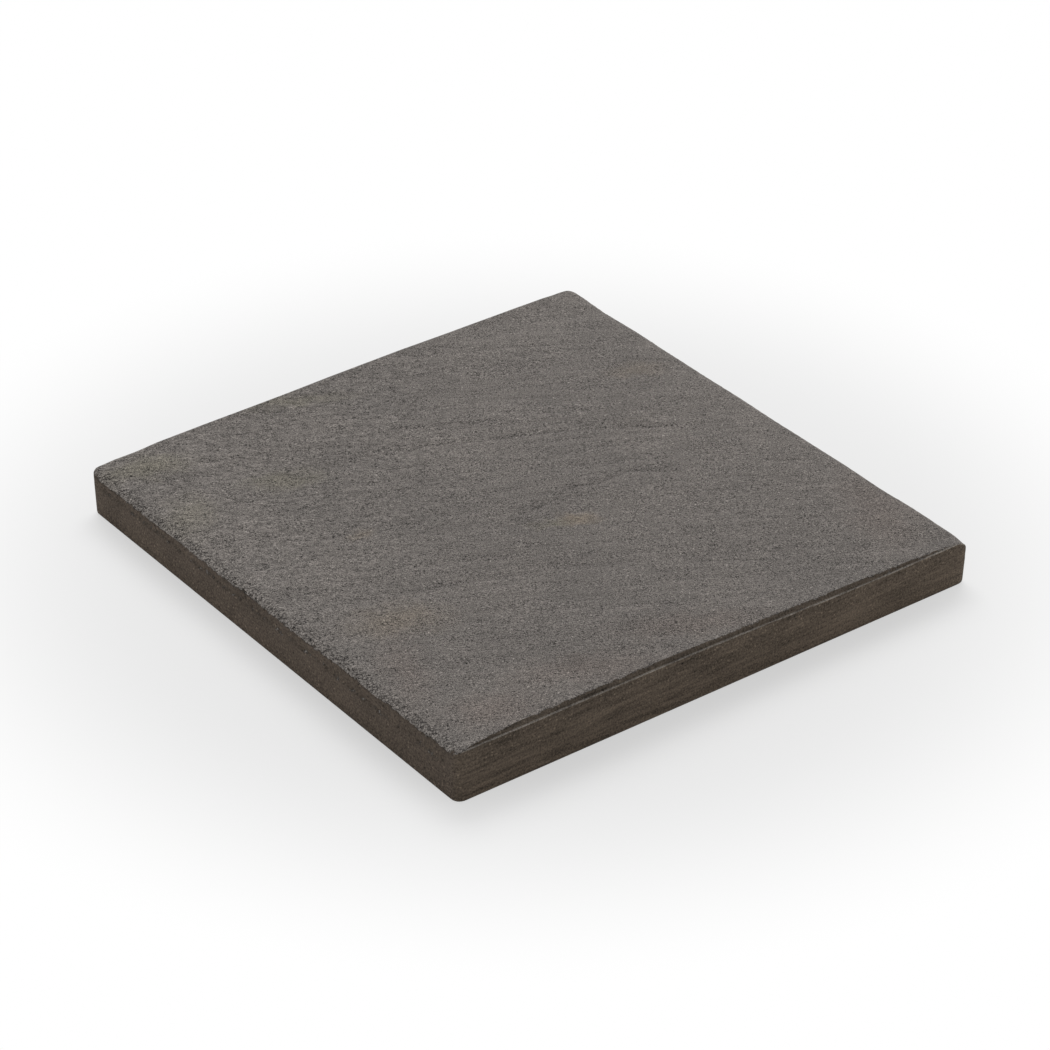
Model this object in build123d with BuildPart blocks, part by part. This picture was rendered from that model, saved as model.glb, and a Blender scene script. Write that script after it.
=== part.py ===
from build123d import *
import os
from math import exp, pi, radians, sin, cos, tan, tanh

# Pressed concrete paving slab with a riven top, all sizes in millimetres.
# The origin is the centre of the flat bed face, +Z points up out of the riven face.
# The steel mould's sides run lengthwise along X (front and back) and along Y (left and right).

# Overall size
side = 450.0                 # square side, measured at the nominal thickness
thickness = 40.0             # nominal thickness
draft_angle = 1.5            # degrees that each side leans outwards, so the slab leaves its mould
corner_radius = 6.0          # vertical corners of the mould
bed_edge_radius = 2.0        # rounded edge round the bed face

# Riven top face: a gentle crown that falls away towards the left and right edges and to two thin corners
crown_height = 45.0          # middle of the slab
rise_to_back = 0.3           # how far the back half rises and the front half falls
left_fall = 4.0              # extra fall at the left edge
right_fall = 4.0             # extra fall at the right edge
fall_length = 24.0           # how far in from an edge its fall dies out
front_right_fall = 5.6       # the front right corner is thin
front_right_start = 40.0     # x where that fall is half done
front_right_length = 80.0
back_left_fall = 6.8         # the back left corner is thinner still, and falls over a longer way
back_left_start = -40.0
back_left_length = -150.0    # negative because it falls towards the left

# Riven waves: long low ridges that run across the slab at a slant
ridge_slant = -24.0          # degrees from the X axis
ridge_waves = ((0.50, 96.0, 0.4), (0.28, 57.0, 2.1))   # height, wavelength, phase
ridge_break = 260.0          # the ridges swell and fade over this length

# Die shoulder: the top steps down to a narrow flash ledge along the front and back edges
ledge_width = 0.9
shoulder_run = 4.2           # from the ledge to where the shoulder meets the top
shoulder_rise = 5.6
front_ledge_height = 41.0    # at the left end of the front edge
front_ledge_fall = 4.9       # lower by this much at the right end
back_ledge_height = 43.6     # at the right end of the back edge
back_ledge_fall = 6.8        # lower by this much at the left end

# Worn arris: the left and right edges are rounded off
arris_lean = 1.2             # the arris starts beyond the side face by this, so that it meets it at a lean
left_arris_width = 8.5
left_arris_drop = 5.3
right_arris_width = 13.0
right_arris_drop = 9.5
arris_growth = 2.0           # the right arris is wider and deeper by this at the back, narrower at the front

half = side / 2
overshoot = 12.0             # how far the cutting shapes reach past the slab
clear_height = 70.0          # top of the cutting shapes, well above the slab


def edge_fall(distance):
    """Share of an edge's fall that is left at this distance in from the edge."""
    return exp(-max(distance, 0.0) / fall_length)


def front_right_share(x):
    """Share of the front right corner's fall reached at x."""
    return 0.5 + 0.5 * tanh((x - front_right_start) / front_right_length)


def back_left_share(x):
    """Share of the back left corner's fall reached at x."""
    return 0.5 + 0.5 * tanh((x - back_left_start) / back_left_length)


def top_height(x, y):
    """Height of the riven face above the bed."""
    across = y / half
    plane = crown_height + rise_to_back * across
    plane -= left_fall * edge_fall(half + x) + right_fall * edge_fall(half - x)
    plane -= front_right_fall * front_right_share(x) * (1 - across) / 2
    plane -= back_left_fall * back_left_share(x) * (1 + across) / 2
    slant = radians(ridge_slant)
    over_ridge = y * cos(slant) - x * sin(slant)
    along_ridge = x * cos(slant) + y * sin(slant)
    swell = 0.65 + 0.35 * sin(2 * pi * along_ridge / ridge_break)
    wave = sum(rise * sin(2 * pi * over_ridge / length + phase) for rise, length, phase in ridge_waves)
    return plane + swell * wave


def front_ledge(x):
    """Height of the flash ledge along the front edge."""
    return front_ledge_height - front_ledge_fall * front_right_share(x)


def back_ledge(x):
    """Height of the flash ledge along the back edge."""
    return back_ledge_height - back_ledge_fall * back_left_share(x)


def evenly(start, end, count):
    """This many places from start to end, evenly spaced."""
    return [start + (end - start) * step / (count - 1) for step in range(count)]


def shoulder_cutter(ledge, y_side):
    """The waste above one flash ledge and its shoulder, y_side is -1 at the front and 1 at the back."""
    with BuildPart() as cutter:
        for x in evenly(-half - overshoot, half + overshoot, 7):
            height = ledge(x)
            face = half + tan(radians(draft_angle)) * (height - thickness)
            ledge_back = (y_side * (face - ledge_width), height)
            run_out = (y_side * (face - ledge_width - 3 * shoulder_run), height + 2 * shoulder_rise)
            outside = y_side * (half + overshoot)
            with BuildSketch(Plane.YZ.offset(x)):
                with BuildLine():
                    Polyline((outside, clear_height), (outside, height), ledge_back)
                    Spline(ledge_back, run_out, tangents=((-0.4 * y_side, 1), (-1 * y_side, 0.5)))
                    Polyline(run_out, (run_out[0], clear_height), (outside, clear_height))
                make_face()
        loft()
    return cutter.part


def arris(x_side, width, drop, y):
    """Foot and crest of a worn arris in the section at y, x_side is -1 at the left and 1 at the right."""
    crest = (x_side * (half - width), top_height(x_side * (half - width), y))
    face = half + tan(radians(draft_angle)) * (crest[1] - drop - thickness)
    foot = (x_side * (face + arris_lean), crest[1] - drop - 2 * arris_lean)
    return foot, crest


# The riven die: a loft through the slab's cross-sections, with both worn arrises and the waves between them
with BuildPart() as riven_die:
    for y in evenly(-half - overshoot, half + overshoot, 25):
        growth = arris_growth * y / half
        left_foot, left_crest = arris(-1, left_arris_width, left_arris_drop, y)
        right_foot, right_crest = arris(1, right_arris_width + growth, right_arris_drop + growth, y)
        with BuildSketch(Plane.XZ.offset(-y)):
            with BuildLine():
                wave = Spline([(x, top_height(x, y)) for x in evenly(left_crest[0], right_crest[0], 23)])
                Spline(left_foot, left_crest, tangents=((1, 2), wave % 0))
                Spline(right_crest, right_foot, tangents=(wave % 1, (1, -2)))
                Polyline(right_foot, (half + overshoot, right_foot[1]), (half + overshoot, clear_height))
                Line((half + overshoot, clear_height), (-half - overshoot, clear_height))
                Polyline((-half - overshoot, clear_height), (-half - overshoot, left_foot[1]), left_foot)
            make_face()
    loft()

# The slab: a drafted block from the mould, pressed by the die and worn along its arrises
base_side = side - 2 * thickness * tan(radians(draft_angle))
with BuildPart() as paving_slab:
    with BuildSketch(Plane.XY):
        RectangleRounded(base_side, base_side, corner_radius)
    extrude(amount=clear_height - overshoot)
    mould_faces = paving_slab.faces().sort_by(Axis.Z)[1:-1]
    draft(mould_faces, neutral_plane=Plane.XY, angle=-draft_angle)
    fillet(paving_slab.faces().sort_by(Axis.Z)[0].edges(), bed_edge_radius)
    add(riven_die.part, mode=Mode.SUBTRACT)
    add(shoulder_cutter(front_ledge, -1), mode=Mode.SUBTRACT)
    add(shoulder_cutter(back_ledge, 1), mode=Mode.SUBTRACT)

os.makedirs("parts", exist_ok=True)
paving_slab.part.label = "paving_slab"
export_step(paving_slab.part, "parts/paving_slab.step")
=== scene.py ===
import bpy
from math import atan2, hypot, radians
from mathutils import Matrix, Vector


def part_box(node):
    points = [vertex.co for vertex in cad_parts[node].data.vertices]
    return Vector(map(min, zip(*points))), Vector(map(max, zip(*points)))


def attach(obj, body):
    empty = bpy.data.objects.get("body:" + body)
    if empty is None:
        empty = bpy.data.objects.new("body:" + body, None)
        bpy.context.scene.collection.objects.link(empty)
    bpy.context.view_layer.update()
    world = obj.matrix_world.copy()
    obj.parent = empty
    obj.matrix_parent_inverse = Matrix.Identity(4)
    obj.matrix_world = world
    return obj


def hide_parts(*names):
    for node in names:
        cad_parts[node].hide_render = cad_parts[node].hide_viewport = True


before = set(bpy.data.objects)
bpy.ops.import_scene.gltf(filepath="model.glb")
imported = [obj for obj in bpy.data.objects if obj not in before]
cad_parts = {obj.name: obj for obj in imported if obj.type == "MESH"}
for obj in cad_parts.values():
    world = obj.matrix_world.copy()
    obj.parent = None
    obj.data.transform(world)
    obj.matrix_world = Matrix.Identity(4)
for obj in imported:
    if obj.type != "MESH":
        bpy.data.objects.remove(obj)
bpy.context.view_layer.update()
bpy.ops.object.select_all(action="DESELECT")
bpy.context.scene.view_settings.view_transform = "Standard"

# The camera stands where the photograph was taken, about 2.6 metres off with a long lens,
# and looks down on the front corner of the slab.
camera_data = bpy.data.cameras.new("camera")
camera_data.sensor_width = 36.0
camera_data.lens = 124.9
camera = bpy.data.objects.new("camera", camera_data)
camera.location = (-1.3437, -1.7578, 1.4031)
camera.rotation_euler = (radians(57.95), radians(-0.45), radians(-37.13))
bpy.context.scene.collection.objects.link(camera)
bpy.context.scene.camera = camera

# The floor is a plain pale board. Round the slab it shows the slab's soft shadow,
# and further out it passes into the white backdrop.
shadow_reach = 0.26          # as far as this from the slab's middle the shadow shows most
backdrop_start = 0.50        # and from here on the camera sees plain white
white_by_slab = 0.55         # share of white that it sees beside the slab
board_grey = (0.80, 0.80, 0.80, 1)


def put(tree, kind, inputs=None, **settings):
    """Adds a node, each of its inputs is a plain value or another node's output."""
    node = tree.nodes.new(kind)
    for key, value in settings.items():
        setattr(node, key, value)
    for key, value in (inputs or {}).items():
        if isinstance(value, bpy.types.NodeSocket):
            tree.links.new(value, node.inputs[key])
        else:
            node.inputs[key].default_value = value
    return node


def scaled(tree, value, low_in, high_in, low_out, high_out, smooth=False):
    """Maps a value from one range to another and holds it there."""
    return put(tree, "ShaderNodeMapRange", {"Value": value, "From Min": low_in, "From Max": high_in,
               "To Min": low_out, "To Max": high_out},
               interpolation_type="SMOOTHSTEP" if smooth else "LINEAR").outputs["Result"]


def maths(tree, operation, first, second):
    """One mathematical operation on two values."""
    return put(tree, "ShaderNodeMath", {0: first, 1: second}, operation=operation).outputs["Value"]


bpy.ops.mesh.primitive_plane_add(size=12.0)
floor = bpy.context.object
floor.name = "floor"
floor_material = bpy.data.materials.new("pale_board")
floor_material.use_nodes = True
tree = floor_material.node_tree
board = tree.nodes["Principled BSDF"]
board.inputs["Base Color"].default_value = board_grey
board.inputs["Roughness"].default_value = 0.9
board.inputs["Specular IOR Level"].default_value = 0.0
white = put(tree, "ShaderNodeEmission", {"Color": (1, 1, 1, 1), "Strength": 1.0})
place = put(tree, "ShaderNodeTexCoord").outputs["Object"]
distance = put(tree, "ShaderNodeVectorMath", {0: place}, operation="LENGTH").outputs["Value"]
away = scaled(tree, distance, shadow_reach, backdrop_start, white_by_slab, 1.0, smooth=True)
seen = maths(tree, "MULTIPLY", away, put(tree, "ShaderNodeLightPath").outputs["Is Camera Ray"])
blend = put(tree, "ShaderNodeMixShader",
            {"Fac": seen, 1: board.outputs["BSDF"], 2: white.outputs["Emission"]})
tree.links.new(blend.outputs["Shader"], tree.nodes["Material Output"].inputs["Surface"])
floor.data.materials.append(floor_material)

# The light is a large soft box above and behind the slab, so its near sides stay darker than its top,
# with a weak even glow from all round. The backdrop is white to the camera only.
world = bpy.data.worlds.new("studio")
world.use_nodes = True
tree = world.node_tree
glow = tree.nodes["Background"]
glow.inputs["Color"].default_value = (1, 1, 1, 1)
glow.inputs["Strength"].default_value = 0.30
backdrop = put(tree, "ShaderNodeBackground", {"Color": (1, 1, 1, 1)})
to_camera = put(tree, "ShaderNodeLightPath").outputs["Is Camera Ray"]
blend = put(tree, "ShaderNodeMixShader",
            {"Fac": to_camera, 1: glow.outputs["Background"], 2: backdrop.outputs["Background"]})
tree.links.new(blend.outputs["Shader"], tree.nodes["World Output"].inputs["Surface"])
bpy.context.scene.world = world

soft_box = bpy.data.lights.new("soft_box", "AREA")
soft_box.shape = "RECTANGLE"
soft_box.size = 2.6
soft_box.size_y = 2.0
soft_box.energy = 80.0
lamp = bpy.data.objects.new("soft_box", soft_box)
lamp.location = (1.20, 1.60, 2.80)
lamp.rotation_euler = (radians(-35.5), 0, radians(-36.9))
bpy.context.scene.collection.objects.link(lamp)

# The slab is one piece of pressed concrete: a steel mould forms its drafted sides, a riven die presses its
# top, and its left and right arrises have worn to a crumbly round. A square grid with rings round its margin
# is laid over the CAD slab, the bed is a flat cap of its own, and the sides are bridged between the two.
slab_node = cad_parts["paving_slab"]
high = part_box("paving_slab")[1]

cap_cells = 236              # squares along each side of the grid that makes the riven face
cap_half = 0.2130            # half of that grid's side
above = 0.060                # the grid starts at this height, above the CAD slab
outline_height = 0.020       # the outline takes the mould's rounded corners from the sides at this height
rim_inset = 0.0004           # from the widest outline in to the rim of the riven face
rim_insets = (0.0005, 0.0010, 0.0014, 0.0019, 0.0025, 0.0031, 0.0038, 0.0046, 0.0055, 0.0065, 0.0078, 0.0092)
bed_inset = 0.00105          # from the widest outline in to the top of the rounded bed edge
bed_edge_height = 0.0020
bed_insets = ((0.0002, 0.0011), (0.0007, 0.0005), (0.0013, 0.0001), (0.0020, 0.0), (0.0100, 0.0))
side_cuts = 17               # rows of points up each side
riven_floor = 0.030          # the whole riven face is higher than this
arris_floor = 0.026          # and both worn arrises are higher than this
corner_floor = 0.022         # and the wear of the two right corners ends here
stroke_half_width = 0.0010   # points this near to a path are pressed down with it
millimetre = 0.001


def move_loop(piece, inset, height):
    """Brings the selected loop of points to this height, and to this far inside the slab's widest outline."""
    piece.update_from_editmode()
    chosen = [v.co for v in piece.data.vertices if v.select]
    size_x = (high.x - inset) / max(co.x for co in chosen)
    size_y = (high.y - inset) / max(co.y for co in chosen)
    bpy.ops.transform.resize(value=(size_x, size_y, 0), center_override=(0, 0, 0))
    bpy.ops.transform.translate(value=(0, 0, height))


def keep_group(piece, name):
    """Remembers the selected points in a vertex group."""
    group = piece.vertex_groups.new(name=name)
    piece.vertex_groups.active_index = group.index
    bpy.ops.object.vertex_group_assign()


def pick_groups(piece, *names):
    """Selects the points of these vertex groups and nothing else."""
    bpy.ops.mesh.select_all(action="DESELECT")
    for name in names:
        piece.vertex_groups.active_index = piece.vertex_groups[name].index
        bpy.ops.object.vertex_group_select()


def apply(piece, kind, **settings):
    """Adds a modifier with these settings and applies it."""
    step = piece.modifiers.new(kind.lower(), kind)
    for key, value in settings.items():
        setattr(step, key, value)
    bpy.ops.object.modifier_apply(modifier=step.name)


def weigh(piece, name, share):
    """Makes a vertex group whose weight at each point is share(place)."""
    group = piece.vertex_groups.new(name=name)
    for vertex in piece.data.vertices:
        group.add([vertex.index], share(vertex.co), "REPLACE")


def fade(value, start, end):
    """Goes from 0 at start to 1 at end."""
    return min(max((value - start) / (end - start), 0.0), 1.0)


def margin(co):
    """Distance of a place inside the slab's widest outline."""
    return min(high.x - abs(co.x), high.y - abs(co.y))


def crumble(co):
    """How crumbly the worn arrises are at a place, the left one far more than the right one."""
    off_corner = fade(high.y - abs(co.y), 0.003, 0.020)
    left_share = fade(high.x + co.x, 0.014, 0.004)
    right_share = fade(high.x - co.x, 0.014, 0.004) * (0.15 + 0.35 * fade(co.y, 0.0, 0.2))
    return off_corner * (left_share + right_share)


def near_path(co, places):
    """Distance in plan from a place to the nearest stretch of a path."""
    nearest = 1.0
    for (ax, ay), (bx, by) in zip(places, places[1:]):
        along = ((co.x - ax) * (bx - ax) + (co.y - ay) * (by - ay)) / ((bx - ax) ** 2 + (by - ay) ** 2)
        along = min(max(along, 0.0), 1.0)
        nearest = min(nearest, hypot(co.x - ax - along * (bx - ax), co.y - ay - along * (by - ay)))
    return nearest


def press(piece, path, depth, reach):
    """Presses a soft groove into the riven face along a path, all in millimetres."""
    places = [(x * millimetre, y * millimetre) for x, y in path]
    for vertex in piece.data.vertices:
        vertex.select = vertex.co.z > riven_floor and near_path(vertex.co, places) < stroke_half_width
    bpy.ops.object.mode_set(mode="EDIT")
    bpy.ops.transform.translate(value=(0, 0, -depth * millimetre), use_proportional_edit=True,
                                proportional_edit_falloff="SMOOTH", proportional_size=reach * millimetre)
    bpy.ops.mesh.select_all(action="DESELECT")
    bpy.ops.object.mode_set(mode="OBJECT")


bpy.ops.mesh.primitive_grid_add(x_subdivisions=cap_cells, y_subdivisions=cap_cells, size=2 * cap_half)
slab = bpy.context.object
slab.name = "riven_slab"
bpy.ops.object.mode_set(mode="EDIT")
bpy.ops.mesh.select_mode(type="VERT")
bpy.ops.transform.translate(value=(0, 0, above))
bpy.ops.mesh.region_to_loop()
keep_group(slab, "cap_border")

# The outline starts as a copy of the grid's border and takes the mould's rounded corners from the CAD slab
bpy.ops.mesh.duplicate()
bpy.ops.object.vertex_group_remove_from()
move_loop(slab, 0, outline_height)
keep_group(slab, "outline")
bpy.ops.object.mode_set(mode="OBJECT")
apply(slab, "SHRINKWRAP", target=slab_node, vertex_group="outline")

# The bed hangs from a copy of the outline: rings round its rounded edge, then one flat face
bpy.ops.object.mode_set(mode="EDIT")
pick_groups(slab, "outline")
bpy.ops.mesh.duplicate()
bpy.ops.object.vertex_group_remove_from()
move_loop(slab, bed_inset, bed_edge_height)
keep_group(slab, "bed_rim")
for inset, height in bed_insets:
    bpy.ops.mesh.extrude_edges_move()
    bpy.ops.object.vertex_group_remove_from()
    move_loop(slab, bed_inset + inset, height)
bpy.ops.mesh.edge_face_add()

# The outline itself rises to the grid and is joined to it by rings that lie closer towards the rim
pick_groups(slab, "outline")
move_loop(slab, rim_inset, above)
for inset in rim_insets:
    bpy.ops.mesh.extrude_edges_move()
    slab.vertex_groups.active_index = slab.vertex_groups["outline"].index
    bpy.ops.object.vertex_group_remove_from()
    move_loop(slab, rim_inset + inset, above)
slab.vertex_groups.active_index = slab.vertex_groups["cap_border"].index
bpy.ops.object.vertex_group_select()
bpy.ops.mesh.bridge_edge_loops()

# The cap falls straight down onto the riven face, then the sides are bridged from its rim to the bed
bpy.ops.object.mode_set(mode="OBJECT")
weigh(slab, "cap", lambda co: 1.0 if co.z > above / 2 else 0.0)
apply(slab, "SHRINKWRAP", target=slab_node, vertex_group="cap", wrap_method="PROJECT",
      use_project_z=True, use_positive_direction=False, use_negative_direction=True)
apply(slab, "SHRINKWRAP", target=slab_node, vertex_group="cap")
bpy.ops.object.mode_set(mode="EDIT")
pick_groups(slab, "outline", "bed_rim")
bpy.ops.mesh.bridge_edge_loops(number_cuts=side_cuts, interpolation="LINEAR", smoothness=0.0)
bpy.ops.mesh.select_all(action="SELECT")
bpy.ops.mesh.normals_make_consistent(inside=False)
bpy.ops.mesh.select_all(action="DESELECT")
bpy.ops.object.mode_set(mode="OBJECT")

# Inside the worn margin the riven face is smoothed, so the solid's facets don't show
weigh(slab, "inner_cap", lambda co: fade(margin(co), 0.012, 0.022) if co.z > riven_floor else 0.0)
apply(slab, "SMOOTH", vertex_group="inner_cap", factor=0.5, iterations=40)

# Long low creases across the riven face, each with its path, depth and reach in millimetres, and with how
# much painted shade is drawn along it. Two wide hollows lie beside the light ridge, and the second gets no
# painted shade.
creases = (
    (((-34, 103), (-11, 98), (27, 78), (50, 70), (89, 53), (117, 39), (145, 17)), 0.7, 5.0, 0.36),
    (((-19, -17), (13, -17), (33, -9), (53, -16), (82, -16), (110, -35)), 0.7, 6.0, 0.36),
    (((41, -135), (68, -152), (102, -172)), 0.6, 5.0, 0.30),
    (((180, -67), (207, -80)), 0.5, 5.0, 0.28),
    (((-138, 58), (-124, 55)), 0.8, 4.5, 0.42),
    (((-158, 87), (-143, 82)), 0.8, 4.5, 0.42),
    (((-150, -46), (-95, -66), (-40, -91), (25, -120), (110, -160), (135, -168)), 0.8, 13.0, 0.17),
)
second_hollow = ((-95, -40), (-32, -68), (33, -95), (118, -135))
for path, depth, reach, shade in creases:
    press(slab, path, depth, reach)
press(slab, second_hollow, 0.35, 13.0)

# The two right corners are worn round, and the back edge dips just before the left corner
front_right_wear = ((223, -223), (218, -218))
back_left_dip = ((-210, 222), (-188, 222))
press(slab, front_right_wear, 2.0, 10.0)
press(slab, back_left_dip, 1.2, 22.0)


def corner_wear(co):
    """How worn the slab is at a place near its two right corners."""
    to_corner = hypot(high.x - co.x, high.y - abs(co.y))
    return fade(to_corner, 0.012, 0.004) if co.z > corner_floor else 0.0


weigh(slab, "worn_corners", corner_wear)
apply(slab, "SMOOTH", vertex_group="worn_corners", factor=0.5, iterations=12)

# Riven wrinkles run along the ridges, longer than they are wide
ridge_slant = radians(-24)   # from the X axis, as the ridges of the CAD slab
wrinkle_stretch = 3.5
weigh(slab, "riven", lambda co: fade(margin(co), 0.004, 0.012) if co.z > riven_floor else 0.0)
ridge_frame = bpy.data.objects.new("ridge_frame", None)
ridge_frame.rotation_euler = (0, 0, ridge_slant)
ridge_frame.scale = (wrinkle_stretch, 1, 1)
bpy.context.scene.collection.objects.link(ridge_frame)
wrinkles = bpy.data.textures.new("wrinkles", "CLOUDS")
wrinkles.noise_scale = 0.011
wrinkles.noise_depth = 3
apply(slab, "DISPLACE", texture=wrinkles, texture_coords="OBJECT", texture_coords_object=ridge_frame,
      vertex_group="riven", strength=0.0011, mid_level=1.0, direction="Z")
bpy.data.objects.remove(ridge_frame)

# The worn arrises have crumbled a little
weigh(slab, "arris", lambda co: crumble(co) if co.z > arris_floor else 0.0)
crumbs = bpy.data.textures.new("crumbs", "CLOUDS")
crumbs.noise_scale = 0.0040
crumbs.noise_depth = 1
apply(slab, "DISPLACE", texture=crumbs, texture_coords="LOCAL", vertex_group="arris",
      strength=0.0018, mid_level=1.0)

# The flash ledges are remembered in an attribute, for the painted highlight along them
ledge_width = 0.0012
on_ledge = slab.data.attributes.new("rim", "FLOAT", "POINT")
for vertex in slab.data.vertices:
    is_ledge = high.y - abs(vertex.co.y) < ledge_width and vertex.normal.z > 0.2
    on_ledge.data[vertex.index].value = 1.0 if is_ledge else 0.0

bpy.ops.object.shade_smooth_by_angle(angle=radians(50))

# The concrete is sandy grey with a grain of fine light and dark sand on the riven face,
# and smoother and browner on the sides where the mould shaped it
riven_dark = (0.161, 0.147, 0.136, 1)
riven_light = (0.189, 0.171, 0.157, 1)
stain_colours = {
    "tan": (0.250, 0.200, 0.142, 1),
    "green": (0.180, 0.166, 0.122, 1),
    "pink": (0.190, 0.156, 0.138, 1),
}
left_side_brown = (0.160, 0.126, 0.098, 1)
front_side_brown = (0.153, 0.120, 0.090, 1)
# painted shade: the dark brown of the band under the crumbs and on the shoulders
painted_shade_brown = (0.092, 0.080, 0.067, 1)
# painted highlight: the light colour of the flash ledges' lit line
painted_ledge_highlight = (0.430, 0.385, 0.335, 1)


def new_group(name, outputs):
    """Starts a node group that takes a place and gives these outputs."""
    group = bpy.data.node_groups.new(name, "ShaderNodeTree")
    group.interface.new_socket("Vector", in_out="INPUT", socket_type="NodeSocketVector")
    for output, kind in outputs.items():
        group.interface.new_socket(output, in_out="OUTPUT", socket_type=kind)
    place = group.nodes.new("NodeGroupInput").outputs["Vector"]
    return group, place, group.nodes.new("NodeGroupOutput").inputs


def total(tree, value, *others):
    """Sum of several values."""
    for other in others:
        value = maths(tree, "ADD", value, other)
    return value


def product(tree, value, *others):
    """Product of several values."""
    for other in others:
        value = maths(tree, "MULTIPLY", value, other)
    return value


def less(tree, value, other):
    """Difference of two values."""
    return maths(tree, "SUBTRACT", value, other)


def noise(tree, vector, scale, detail=2.0, roughness=0.5):
    """Value of a noise texture at a place."""
    return put(tree, "ShaderNodeTexNoise", {"Vector": vector, "Scale": scale, "Detail": detail,
               "Roughness": roughness}).outputs["Fac"]


def laid(tree, place, angle, stretch, centre=(0, 0)):
    """Turns and stretches a pattern over the slab, about this centre."""
    return put(tree, "ShaderNodeMapping", {"Vector": place, "Location": (*centre, 0),
               "Rotation": (0, 0, angle), "Scale": stretch}, vector_type="TEXTURE").outputs["Vector"]


def wobbled(tree, place, scale, reach):
    """Shifts a place to and fro, so that what is drawn there has an uneven outline."""
    wobble = put(tree, "ShaderNodeTexNoise", {"Vector": place, "Scale": scale, "Detail": 3.0})
    shift = put(tree, "ShaderNodeVectorMath", {0: wobble.outputs["Color"], 1: (0.5, 0.5, 0.5)},
                operation="SUBTRACT").outputs["Vector"]
    return put(tree, "ShaderNodeVectorMath", {0: shift, 1: (reach, reach, 0.0), 2: place},
               operation="MULTIPLY_ADD").outputs["Vector"]


def oval(tree, place, centre, angle, size, edge, strength):
    """A soft oval patch of this strength in its middle, which is gone at edge times its size."""
    near = laid(tree, place, angle, (*size, 10.0), centre)
    spread = put(tree, "ShaderNodeVectorMath", {0: near}, operation="LENGTH").outputs["Value"]
    return scaled(tree, spread, 0.0, edge, strength, 0.0, smooth=True)


def flecks(tree, place, scale, channel, share, core, edge):
    """Round flecks in this share of a pattern's cells, solid as far out as core and gone at edge."""
    cells = put(tree, "ShaderNodeTexVoronoi", {"Vector": place, "Scale": scale})
    pick = put(tree, "ShaderNodeSeparateColor", {"Color": cells.outputs["Color"]}).outputs[channel]
    here = maths(tree, "LESS_THAN", pick, share)
    return product(tree, here, scaled(tree, cells.outputs["Distance"], core, edge, 1.0, 0.0, smooth=True))


def tinted(tree, share, base, tint):
    """Mixes a tint into a base colour. The Mix node's sockets 6 and 7 are its colours, and 2 is its result."""
    return put(tree, "ShaderNodeMix", {"Factor": share, 6: base, 7: tint}, data_type="RGBA").outputs[2]


def toned(tree, colour, tone):
    """A colour made darker or lighter by a tone."""
    return put(tree, "ShaderNodeVectorMath", {0: colour, "Scale": tone}, operation="SCALE").outputs["Vector"]


# Sand grain of the riven face, crumblier towards the left corner, with painted shade in its pits and a few
# painted glints:
# the tone is about 1 and multiplies the colour, and the height is in metres
sand_grain, place, result = new_group("sand_grain", {"Tone": "NodeSocketFloat", "Height": "NodeSocketFloat"})
along = laid(sand_grain, place, radians(-32), (1.5, 1, 1))
sand = noise(sand_grain, along, 800.0, detail=2.0, roughness=0.7)
dust = noise(sand_grain, place, 1500.0, detail=1.0, roughness=0.5)
coarse = noise(sand_grain, along, 220.0, detail=3.0, roughness=0.65)
layers = laid(sand_grain, place, radians(-27), (8, 1, 1))
bedding = noise(sand_grain, layers, 150.0, detail=3.0, roughness=0.6)
parts = put(sand_grain, "ShaderNodeSeparateXYZ", {"Vector": place}).outputs
to_left_corner = less(sand_grain, parts["Y"], parts["X"])
crumbly = scaled(sand_grain, to_left_corner, -0.02, 0.26, 0.30, 1.0, smooth=True)
# pits are pressed in as bumps and darkened with painted shade
pit_with_painted_shade = flecks(sand_grain, along, 520.0, "Red", product(sand_grain, crumbly, 0.20), 0.15, 0.40)
# painted glints: a few tiny white specks
painted_glint = flecks(sand_grain, place, 620.0, "Green", 0.016, 0.20, 0.45)
tone = total(sand_grain,
             scaled(sand_grain, sand, 0.25, 0.75, 0.44, 1.68),
             scaled(sand_grain, dust, 0.25, 0.75, -1.05, 1.05),
             product(sand_grain, scaled(sand_grain, coarse, 0.3, 0.7, -0.33, 0.33), crumbly),
             scaled(sand_grain, bedding, 0.3, 0.7, -0.12, 0.12))
tone = less(sand_grain, tone, product(sand_grain, pit_with_painted_shade, 0.60))
tone = total(sand_grain, tone, product(sand_grain, painted_glint, 1.5))
left_light = scaled(sand_grain, parts["X"], -0.22, -0.08, 1.13, 1.0)
sand_grain.links.new(product(sand_grain, tone, left_light), result["Tone"])
height = total(sand_grain,
               product(sand_grain, sand, 0.00050),
               product(sand_grain, coarse, crumbly, 0.0013),
               product(sand_grain, bedding, 0.0010))
height = less(sand_grain, height, product(sand_grain, pit_with_painted_shade, 0.0006))
sand_grain.links.new(height, result["Height"])

# Mould-faced sides: fine faint grain, lengthwise streaks, small pits with painted shade in them, and light
# specks of sand in places
mould_outputs = {"Tone": "NodeSocketFloat", "Streak": "NodeSocketFloat", "Height": "NodeSocketFloat"}
mould_face, place, result = new_group("mould_face", mould_outputs)
fine = noise(mould_face, place, 700.0, detail=2.0, roughness=0.7)
lengthwise = put(mould_face, "ShaderNodeMapping", {"Vector": place, "Scale": (0.08, 0.30, 1.0)})
streak = noise(mould_face, lengthwise.outputs["Vector"], 300.0, detail=3.0, roughness=0.6)
patch = noise(mould_face, place, 28.0, detail=3.0, roughness=0.55)
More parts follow.
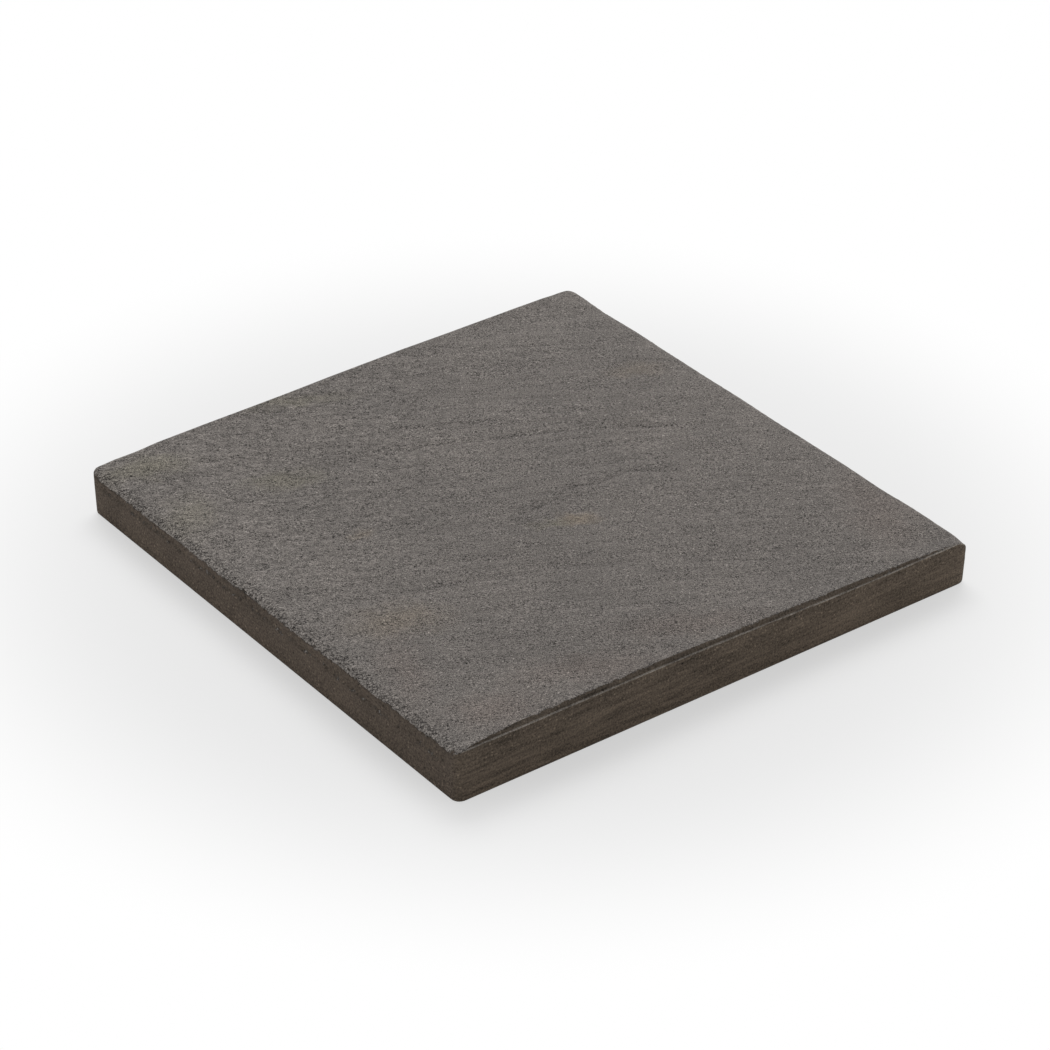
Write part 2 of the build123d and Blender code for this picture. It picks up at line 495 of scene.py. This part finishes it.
# pits are pressed in as bumps and darkened with painted shade
pit_with_painted_shade = flecks(mould_face, place, 210.0, "Red", 0.10, 0.08, 0.26)
sandy = scaled(mould_face, noise(mould_face, place, 22.0, detail=2.0), 0.35, 0.65, 0.02, 0.11)
speck = flecks(mould_face, place, 480.0, "Green", sandy, 0.15, 0.50)
tone = total(mould_face,
             scaled(mould_face, fine, 0.22, 0.78, 0.25, 1.75),
             scaled(mould_face, patch, 0.3, 0.7, -0.12, 0.12))
tone = less(mould_face, tone, product(mould_face, pit_with_painted_shade, 0.40))
tone = total(mould_face, tone, product(mould_face, speck, 1.1))
mould_face.links.new(tone, result["Tone"])
mould_face.links.new(scaled(mould_face, streak, 0.3, 0.7, -0.40, 0.40), result["Streak"])
height = total(mould_face, product(mould_face, fine, 0.00024), product(mould_face, streak, 0.00028))
height = less(mould_face, height, product(mould_face, pit_with_painted_shade, 0.0005))
mould_face.links.new(height, result["Height"])

# Stains of the riven face: soft tan, pinkish and greenish patches where iron and lime came up in the mix,
# each with its centre and its size along and across the ridges in metres, and its strength
stain_places = (
    ("tan", (0.012, -0.045), (0.013, 0.007), 0.50),
    ("green", (-0.007, -0.041), (0.012, 0.005), 0.50),
    ("tan", (-0.164, -0.076), (0.030, 0.018), 0.30),
    ("tan", (-0.123, 0.030), (0.010, 0.006), 0.30),
    ("tan", (0.180, 0.095), (0.020, 0.010), 0.22),
    ("green", (-0.192, 0.200), (0.030, 0.014), 0.50),
    ("green", (-0.055, 0.211), (0.040, 0.008), 0.40),
    ("green", (-0.124, 0.123), (0.026, 0.014), 0.45),
    ("green", (-0.202, 0.124), (0.016, 0.024), 0.35),
    ("pink", (-0.177, -0.200), (0.030, 0.018), 0.50),
    ("pink", (-0.098, -0.200), (0.050, 0.016), 0.45),
    ("pink", (-0.009, -0.200), (0.050, 0.014), 0.40),
    ("pink", (-0.196, -0.128), (0.014, 0.040), 0.35),
    ("pink", (0.196, -0.159), (0.024, 0.050), 0.40),
)
riven_stains, place, result = new_group("riven_stains", {"Color": "NodeSocketColor"})
moved = wobbled(riven_stains, place, 60.0, 0.030)
mottle = scaled(riven_stains, noise(riven_stains, moved, 16.0, detail=4.0, roughness=0.6), 0.3, 0.7, 0.0, 1.0)
colour = tinted(riven_stains, mottle, riven_dark, riven_light)
for name, centre, size, strength in stain_places:
    stain = oval(riven_stains, moved, centre, ridge_slant, size, 1.7, strength)
    colour = tinted(riven_stains, stain, colour, stain_colours[name])
riven_stains.links.new(colour, result["Color"])

# Painted shade in the creases: thin dark strokes along the pressed ones, uneven and broken up
stroke_length = 0.65         # of the stretch of path that it follows
stroke_width = 0.28          # of the crease's reach
painted_crease_shade, place, result = new_group("painted_crease_shade", {"PaintedShade": "NodeSocketFloat"})
moved = wobbled(painted_crease_shade, place, 90.0, 0.007)
stroke_shade = 0.0
for path, depth, reach, shade in creases:
    for (ax, ay), (bx, by) in zip(path, path[1:]):
        middle = (0.5 * (ax + bx) * millimetre, 0.5 * (ay + by) * millimetre)
        size = (stroke_length * hypot(bx - ax, by - ay) * millimetre, stroke_width * reach * millimetre)
        stroke = oval(painted_crease_shade, moved, middle, atan2(by - ay, bx - ax), size, 1.4, shade)
        stroke_shade = maths(painted_crease_shade, "MAXIMUM", stroke, stroke_shade)
broken = scaled(painted_crease_shade, noise(painted_crease_shade, place, 80.0, detail=2.0), 0.36, 0.56, 0.5, 1.0)
painted_crease_shade.links.new(product(painted_crease_shade, stroke_shade, broken), result["PaintedShade"])

concrete = bpy.data.materials.new("cast_concrete")
concrete.use_nodes = True
tree = concrete.node_tree
place = put(tree, "ShaderNodeTexCoord").outputs["Object"]
grain = put(tree, "ShaderNodeGroup", {"Vector": place}, node_tree=sand_grain).outputs
stains = put(tree, "ShaderNodeGroup", {"Vector": place}, node_tree=riven_stains).outputs
mould = put(tree, "ShaderNodeGroup", {"Vector": place}, node_tree=mould_face).outputs
crease_shade = put(tree, "ShaderNodeGroup", {"Vector": place}, node_tree=painted_crease_shade).outputs
split = put(tree, "ShaderNodeSeparateXYZ", {"Vector": place}).outputs
geometry = put(tree, "ShaderNodeNewGeometry").outputs
normal = put(tree, "ShaderNodeSeparateXYZ", {"Vector": geometry["Normal"]}).outputs
off_middle = maths(tree, "ABSOLUTE", split["Y"], 0.0)
long_side = maths(tree, "ABSOLUTE", normal["Y"], 0.0)

# The riven face ends where the slab turns down, with a ragged border, and on the shoulders a little sooner
ragged = noise(tree, place, 260.0, detail=3.0, roughness=0.7)
ragged = product(tree, scaled(tree, ragged, 0.25, 0.75, -0.40, 0.40),
                 scaled(tree, off_middle, 0.2121, 0.2179, 1.0, 0.80))
# on the shoulders the riven colour gives way early to the side colour and its painted shade
on_shoulder = product(tree, scaled(tree, off_middle, 0.2140, 0.2179, 0.0, 0.34),
                      scaled(tree, split["X"], 0.10, 0.22, 1.0, 0.45))
upward = less(tree, total(tree, normal["Z"], ragged), on_shoulder)
on_top = scaled(tree, upward, 0.36, 0.48, 0.0, 1.0, smooth=True)

# The left arris has painted shade in the gaps between its crumbs and painted light on the crumbs, and where
# the riven face turns down it is painted lighter against its shading
crumb_cells = put(tree, "ShaderNodeTexVoronoi", {"Vector": place, "Scale": 460.0}).outputs["Distance"]
on_arris = product(tree, scaled(tree, split["X"], -0.2205, -0.2120, 1.0, 0.0, smooth=True), on_top)
# painted light on the crumbs and painted shade in the gaps between them; the gaps are also pressed in as bumps
# below
crumb_gaps_painted_light_and_shade = product(tree, scaled(tree, crumb_cells, 0.30, 0.75, -0.38, 0.30, smooth=True), on_arris)
# painted light: up to 1.75 times lighter where the riven face turns down, evening out its shading
painted_arris_light = scaled(tree, normal["Z"], 0.45, 0.95, 1.75, 1.0)
# the riven tone carries the painted crease shade and the painted light and shade of the arris
riven_tone = less(tree, product(tree, less(tree, grain["Tone"], crease_shade["PaintedShade"]), painted_arris_light), crumb_gaps_painted_light_and_shade)
riven_colour = toned(tree, stains["Color"], riven_tone)

# The sides are lighter towards the bed, painted light that offsets the floor's shade there, and lighter
# towards the right, with stronger streaks on the front and back
streak_share = total(tree, product(tree, long_side, scaled(tree, split["X"], -0.05, 0.15, 0.85, 0.45)), 0.15)
streaks = product(tree, mould["Streak"], streak_share)
side_tone_with_painted_light = product(tree, total(tree, mould["Tone"], streaks),
                    # painted light: lighter towards the bed, darker towards the top
                    scaled(tree, split["Z"], 0.002, 0.038, 1.12, 0.86),
                    scaled(tree, split["X"], -0.22, 0.22, 1.02, 1.20))

# Under the crumbs and on the shoulders the sides get painted shade, and the flash ledges have a broken painted
# highlight
slope = total(tree, normal["Z"], product(tree, ragged, 0.35))
# painted shade where the sides tilt upwards, under the crumbs and on the shoulders
painted_shade_under_crumbs = product(tree, scaled(tree, slope, 0.12, 0.36, 0.0, 0.70, smooth=True),
                       scaled(tree, off_middle, 0.2140, 0.2179, 1.0, 0.45))
side_base = tinted(tree, long_side, left_side_brown, front_side_brown)
side_base = tinted(tree, painted_shade_under_crumbs, side_base, painted_shade_brown)
rim = put(tree, "ShaderNodeAttribute", attribute_name="rim").outputs["Fac"]
unbroken = scaled(tree, noise(tree, place, 45.0, detail=4.0, roughness=0.7), 0.38, 0.54, 0.20, 1.0)
# painted highlight along the flash ledges, broken up in places
ledge_highlight_mask = product(tree, scaled(tree, rim, 0.50, 0.85, 0.0, 1.0),
                     scaled(tree, off_middle, 0.2202, 0.2236, 0.0, 1.0), unbroken)
side_base = tinted(tree, ledge_highlight_mask, side_base, painted_ledge_highlight)

colour = tinted(tree, on_top, toned(tree, side_base, side_tone_with_painted_light), riven_colour)
height = total(tree, product(tree, grain["Height"], on_top), mould["Height"])
# the crumb gaps as real bumps
height = less(tree, height, product(tree, crumb_gaps_painted_light_and_shade, 0.0012))
bump = put(tree, "ShaderNodeBump", {"Height": height, "Strength": 1.0, "Distance": 1.0})
shader = tree.nodes["Principled BSDF"]
tree.links.new(colour, shader.inputs["Base Color"])
tree.links.new(bump.outputs["Normal"], shader.inputs["Normal"])
shader.inputs["Roughness"].default_value = 0.90
shader.inputs["Specular IOR Level"].default_value = 0.30
slab.data.materials.append(concrete)

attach(slab, "root")
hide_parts("paving_slab")
